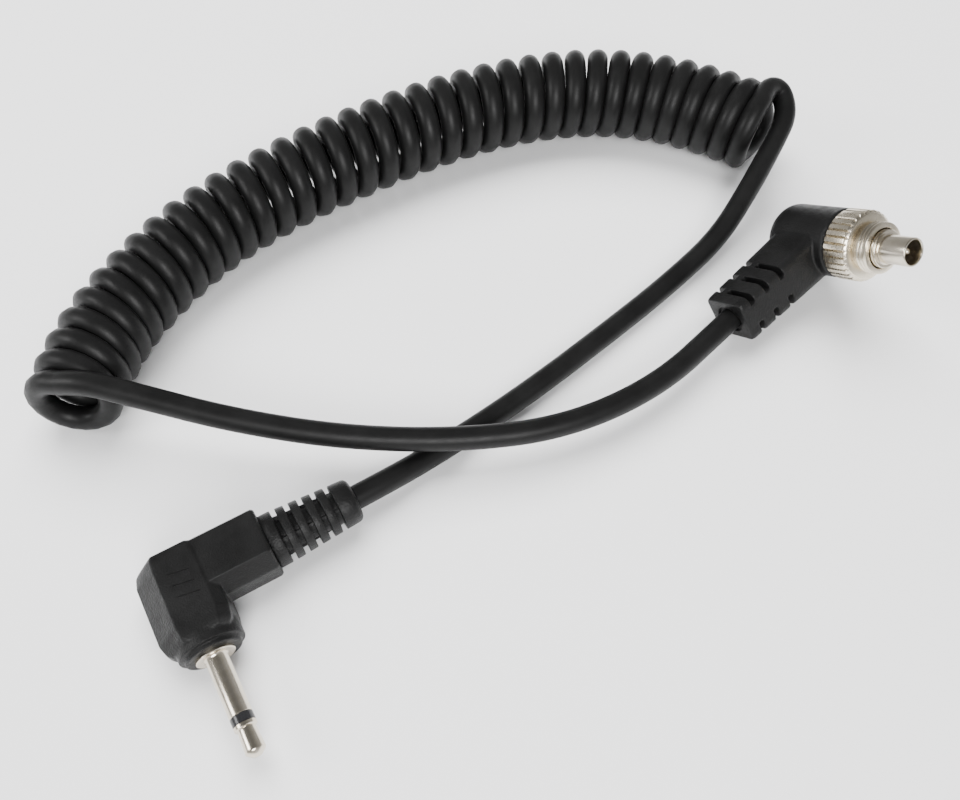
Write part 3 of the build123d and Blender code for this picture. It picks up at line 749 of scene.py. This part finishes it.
back = [(0, PC_HEAD_BACK_Y)]
for k in range(7):
    angle = pi / 2 * k / 6
    radius = PC_HEAD_R - PC_HEAD_ROUND + PC_HEAD_ROUND * sin(angle)
    back.append((radius, PC_HEAD_BACK_Y + PC_HEAD_ROUND * (1 - cos(angle))))
front = [(PC_HEAD_R, PC_HEAD_FRONT_Y - 0.3), (PC_HEAD_R - 0.3, PC_HEAD_FRONT_Y), (0, PC_HEAD_FRONT_Y)]
shell = solid_lathe("sync_shell", back + front, 64)
arm = loft(
    "arm",
    [[(x, y, z) for y, z in rounded_rectangle(*size)] for x, *size in PC_ARM_SIZES],
)
combine(shell, arm, "UNION")
for slot_x in PC_SLOT_XS:
    for middle_y, middle_z, width, height in PC_SLOT_CORNERS:
        low = (slot_x - PC_SLOT_WIDTH / 2, middle_y - width / 2, middle_z - height / 2)
        high = (slot_x + PC_SLOT_WIDTH / 2, middle_y + width / 2, middle_z + height / 2)
        cutter = box("cutter", low, high)
        core = arm_rod("core", PC_SLOT_FLOOR_R, 0, CORE_END_X)
        combine(cutter, core, "DIFFERENCE")
        combine(shell, cutter, "DIFFERENCE")
combine(shell, arm_rod("mouth", PC_MOUTH_R, *PC_MOUTH_X), "DIFFERENCE")
near, far = PC_HOLE_Y
hole = solid_lathe("hole", [(0, near), (BODY_R + 0.02, near), (BODY_R + 0.02, far), (0, far)])
combine(shell, hole, "DIFFERENCE")
soften(shell, SKIN_VOXEL, SKIN_ROUNDS)
place(shell, PC, "cord", ["pc_housing"], "housing")

SLEEVE_R = 1.8
SLEEVE_INSIDE_R = 1.5
SLEEVE_SEAT_R = 2.0
SLEEVE_START_Y = 10.2
SLEEVE_END_Y = 15.15
BODY_START_Y = 1.5
BODY_END_Y = 11.4
BODY_BORE_R = 1.32
BODY_FLANGE_R = 3.3
BODY_FLANGE_END_Y = 2.4
WAIST_R = 2.0
WAIST_Y = (6.4, 8.3)
INSULATOR_FACE_Y = 11.7
PIN_R = 0.4
PIN_Y = (0.4, 14.45)

body = lathe(
    "sync_body",
    [
        (BODY_BORE_R, BODY_START_Y),
        (BODY_FLANGE_R, BODY_START_Y),
        (BODY_FLANGE_R, BODY_FLANGE_END_Y),
        (BODY_R, BODY_FLANGE_END_Y),
        (BODY_R, WAIST_Y[0]),
        (WAIST_R, WAIST_Y[0]),
        (WAIST_R, WAIST_Y[1]),
        (BODY_R, WAIST_Y[1]),
        (BODY_R, 10.95),
        (2.38, 11.02),
        (2.36, 11.05),
        (BODY_R, 11.33),
        (2.33, BODY_END_Y),
        (SLEEVE_SEAT_R, BODY_END_Y),
        (SLEEVE_SEAT_R, SLEEVE_START_Y),
        (BODY_BORE_R, SLEEVE_START_Y),
    ],
)
place(body, PC, "cord", ["pc_body"], "nickel")
sync_sleeve = lathe(
    "sync_sleeve",
    [
        (SLEEVE_INSIDE_R, SLEEVE_START_Y),
        (SLEEVE_SEAT_R, SLEEVE_START_Y),
        (SLEEVE_SEAT_R, BODY_END_Y),
        (SLEEVE_R, BODY_END_Y + 0.05),
        (SLEEVE_R, SLEEVE_END_Y - 0.15),
        (1.76, SLEEVE_END_Y - 0.05),
        (1.7, SLEEVE_END_Y),
        (1.58, SLEEVE_END_Y),
        (1.52, SLEEVE_END_Y - 0.07),
        (SLEEVE_INSIDE_R, SLEEVE_END_Y - 0.2),
    ],
)
place(sync_sleeve, PC, "cord", ["pc_sleeve"], "nickel")
insulator = lathe(
    "sync_insulator",
    [
        (PIN_R + 0.01, BODY_START_Y),
        (1.3, BODY_START_Y),
        (1.3, SLEEVE_START_Y),
        (SLEEVE_INSIDE_R - 0.01, SLEEVE_START_Y),
        (SLEEVE_INSIDE_R - 0.01, INSULATOR_FACE_Y - 0.08),
        (1.42, INSULATOR_FACE_Y),
        (0.5, INSULATOR_FACE_Y),
        (PIN_R + 0.01, INSULATOR_FACE_Y - 0.05),
    ],
)
place(insulator, PC, "cord", ["pc_insulator"], "dark_insulator")
near, far = PIN_Y
pin_outline = [(0, near), (PIN_R, near)]
for k in range(6):
    angle = pi / 2 * k / 6
    pin_outline.append((PIN_R * cos(angle), far - PIN_R + PIN_R * sin(angle)))
pin_outline.append((0, far))
pin = solid_lathe("sync_pin", pin_outline, 48)
place(pin, PC, "cord", ["pc_pin"], "nickel")

RING_R = 4.55
RING_BACK_Y = 5.1
RING_FRONT_Y = 8.7
KNURLS = 32
KNURL_DEPTH = 0.3
KNURL_REACH = 0.62
KNURL_STEEPNESS = 2.8
RING_BORE_R = 2.47
SNAP_GROOVE_R = 2.92
SNAP_GROOVE_Y = (6.83, 7.47)
SKIRT_R = 3.25
SKIRT_BORE_R = 2.55
SKIRT_END_Y = 10.8
THREAD_START_Y = 9.1
THREAD_PITCH = 0.5


def knurled(radius, y, angle):
    """Radius at an angle: flat teeth on the rim with V grooves between them, nothing further in."""
    if radius < RING_R - KNURL_REACH:
        return radius
    wave = abs((angle * KNURLS / tau) % 1 - 0.5) * 2
    tooth = min(1.0, wave * KNURL_STEEPNESS)
    floor = RING_R - KNURL_DEPTH
    if radius <= floor:
        return radius
    return floor + (radius - floor) * tooth


thread = []
for crest in range(3):
    y = THREAD_START_Y + crest * THREAD_PITCH
    thread += [(3.03, y), (3.22, y + 0.17), (SKIRT_R, y + 0.22), (SKIRT_R, y + 0.28), (3.22, y + 0.33)]
ring = lathe(
    "sync_lock_ring",
    [
        (RING_BORE_R, RING_BACK_Y),
        (4.25, RING_BACK_Y),
        (4.43, 5.18),
        (RING_R, 5.35),
        (RING_R, 8.2),
        (4.47, 8.36),
        (4.35, 8.48),
        (4.2, 8.6),
        (4.0, RING_FRONT_Y),
        (2.95, RING_FRONT_Y),
        (2.95, 9.05),
        *thread,
        (3.1, 10.62),
        (SKIRT_R, 10.68),
        (3.22, 10.76),
        (3.12, SKIRT_END_Y),
        (2.62, SKIRT_END_Y),
        (SKIRT_BORE_R, 10.72),
        (SKIRT_BORE_R, 9.0),
        (RING_BORE_R, 9.0),
        (RING_BORE_R, SNAP_GROOVE_Y[1]),
        (SNAP_GROOVE_R, SNAP_GROOVE_Y[1]),
        (SNAP_GROOVE_R, SNAP_GROOVE_Y[0]),
        (RING_BORE_R, SNAP_GROOVE_Y[0]),
    ],
    sides=320,
    knurl=knurled,
)
place(ring, PC, "lock_ring", ["pc_lock_ring"], "ring_nickel", sharp=28)

# ---------------------------------------------------------------- floor and light

FLOOR_HALF = 2
FLOOR_GAP = 0.00002

floor_material, tree, shader = material("floor", (0.80, 0.80, 0.805), 0.55, specular=0.3)
tree.links.new(
    blend_colors(tree, noise(tree, 0.01), (0.79, 0.79, 0.795), (0.81, 0.81, 0.815)),
    shader.inputs["Base Color"],
)
floor_mesh = bpy.data.meshes.new("floor")
corners = [(x * FLOOR_HALF, y * FLOOR_HALF, 0) for x, y in ((-1, -1), (1, -1), (1, 1), (-1, 1))]
floor_mesh.from_pydata(corners, [], [(0, 1, 2, 3)])
floor = bpy.data.objects.new("floor", floor_mesh)
floor.location.z = -FLOOR_GAP
floor_mesh.materials.append(floor_material)
bpy.context.scene.collection.objects.link(floor)

# Name, place and size in metres, power in watts, and whether it shows in reflections.
LIGHTS = [
    ("ceiling", (-0.05, 0.30, 0.55), 0.55, 11.0, False),
    ("front", (0.08, -0.42, 0.42), 0.30, 4.6, True),
    ("window", (-0.50, -0.05, 0.32), 0.22, 1.8, True),
]
for name, at, size, power, glossy in LIGHTS:
    light = bpy.data.lights.new(name, "AREA")
    light.shape = "SQUARE"
    light.size = size
    light.energy = power
    lamp = bpy.data.objects.new(name, light)
    lamp.location = at
    lamp.rotation_euler = Vector(at).to_track_quat("Z", "Y").to_euler()
    lamp.visible_glossy = glossy
    bpy.context.scene.collection.objects.link(lamp)

HORIZON_GLOW = 0.5
ZENITH_GLOW = 0.16
GLOW_HEIGHTS = (0.25, 0.95)

world = bpy.data.worlds.new("studio")
world.use_nodes = True
sky = world.node_tree
direction = sky.nodes.new("ShaderNodeTexCoord")
split = sky.nodes.new("ShaderNodeSeparateXYZ")
sky.links.new(direction.outputs["Generated"], split.inputs["Vector"])
sky.nodes["Background"].inputs["Color"].default_value = (1.0, 1.0, 1.0, 1)
glow = spread(sky, split.outputs["Z"], HORIZON_GLOW, ZENITH_GLOW, *GLOW_HEIGHTS)
sky.links.new(glow, sky.nodes["Background"].inputs["Strength"])
bpy.context.scene.world = world
